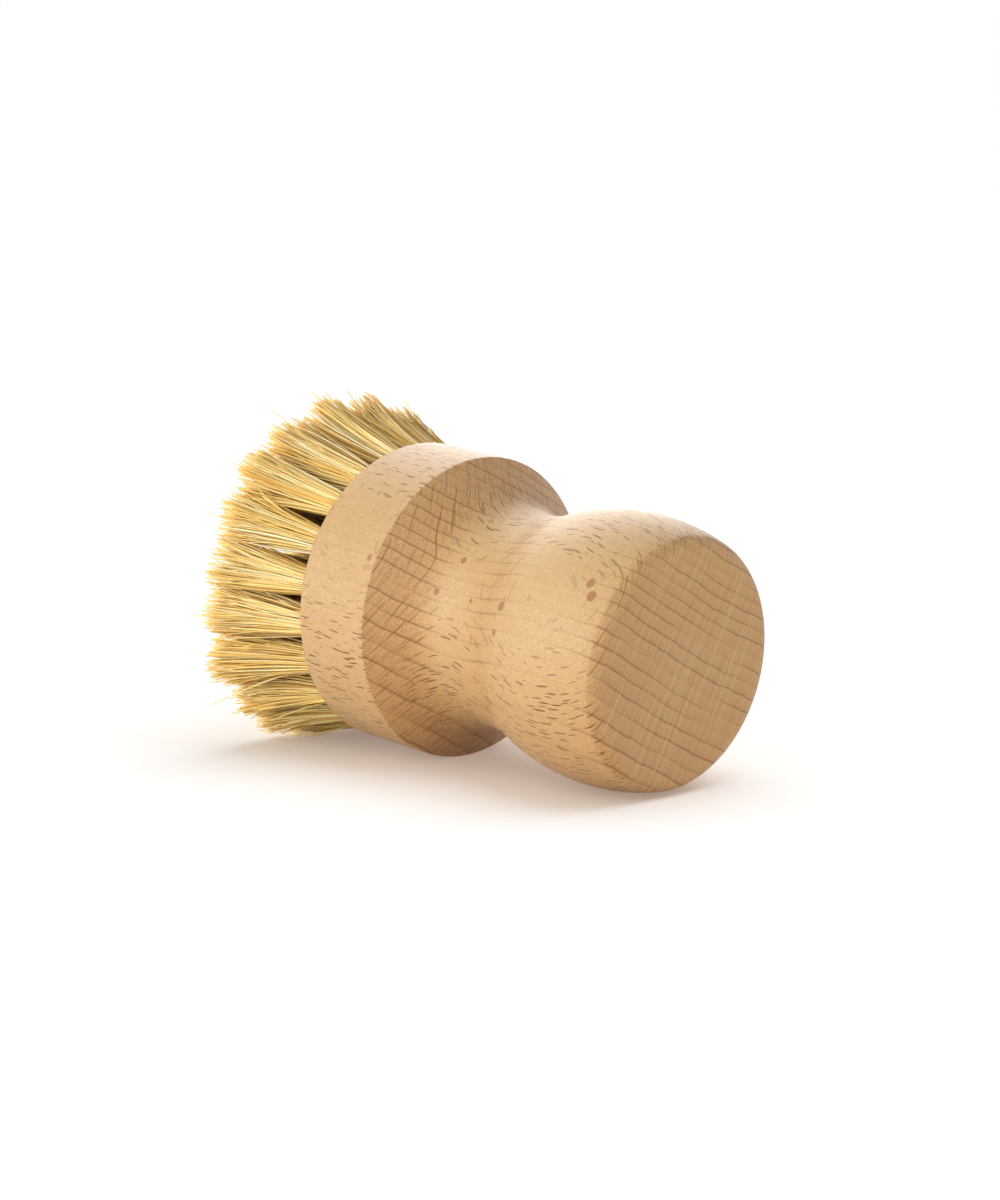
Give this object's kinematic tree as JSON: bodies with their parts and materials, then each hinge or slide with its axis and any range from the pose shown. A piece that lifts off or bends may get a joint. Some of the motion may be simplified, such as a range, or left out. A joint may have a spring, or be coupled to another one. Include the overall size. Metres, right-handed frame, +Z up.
{
  "type": "dish brush",
  "caption": "Short hand brush for dishes and pots: a turned wooden knob handle whose wide round head holds a dense, slightly fanned field of stiff plant-fibre tufts.",
  "frame": {"origin": "on the table that the brush lies on, under the middle of its bounding box", "axes": "+X level, from the fibres towards the butt, the brush's own axis dipping 5 degrees below it; +Z up from the table; +Y to the left when looking along +X"},
  "size_m": [0.0987, 0.0721, 0.0682],
  "materials": {
    "beech": "turned and finely sanded beech, unlacquered, with fine ray flecks on the sides and open end grain on the butt",
    "fibre": "dry straw-coloured plant fibre, matt, stiff",
    "anchor_wire": "flat galvanised wire"
  },
  "bodies": {
    "root": {"head": "beech", "handle": "beech", "tuft_centre": "fibre", "tuft_inner_01": "fibre", "tuft_inner_02": "fibre", "tuft_inner_03": "fibre", "tuft_inner_04": "fibre", "tuft_inner_05": "fibre", "tuft_inner_06": "fibre", "tuft_inner_07": "fibre", "tuft_middle_01": "fibre", "tuft_middle_02": "fibre", "tuft_middle_03": "fibre", "tuft_middle_04": "fibre", "tuft_middle_05": "fibre", "tuft_middle_06": "fibre", "tuft_middle_07": "fibre", "tuft_middle_08": "fibre", "tuft_middle_09": "fibre", "tuft_middle_10": "fibre", "tuft_middle_11": "fibre", "tuft_middle_12": "fibre", "tuft_middle_13": "fibre", "tuft_outer_01": "fibre", "tuft_outer_02": "fibre", "tuft_outer_03": "fibre", "tuft_outer_04": "fibre", "tuft_outer_05": "fibre", "tuft_outer_06": "fibre", "tuft_outer_07": "fibre", "tuft_outer_08": "fibre", "tuft_outer_09": "fibre", "tuft_outer_10": "fibre", "tuft_outer_11": "fibre", "tuft_outer_12": "fibre", "tuft_outer_13": "fibre", "tuft_outer_14": "fibre", "tuft_outer_15": "fibre", "tuft_outer_16": "fibre", "tuft_outer_17": "fibre", "tuft_outer_18": "fibre", "tuft_outer_19": "fibre", "tuft_outer_20": "fibre", "tuft_anchors": "anchor_wire"}
  },
  "joints": []
}
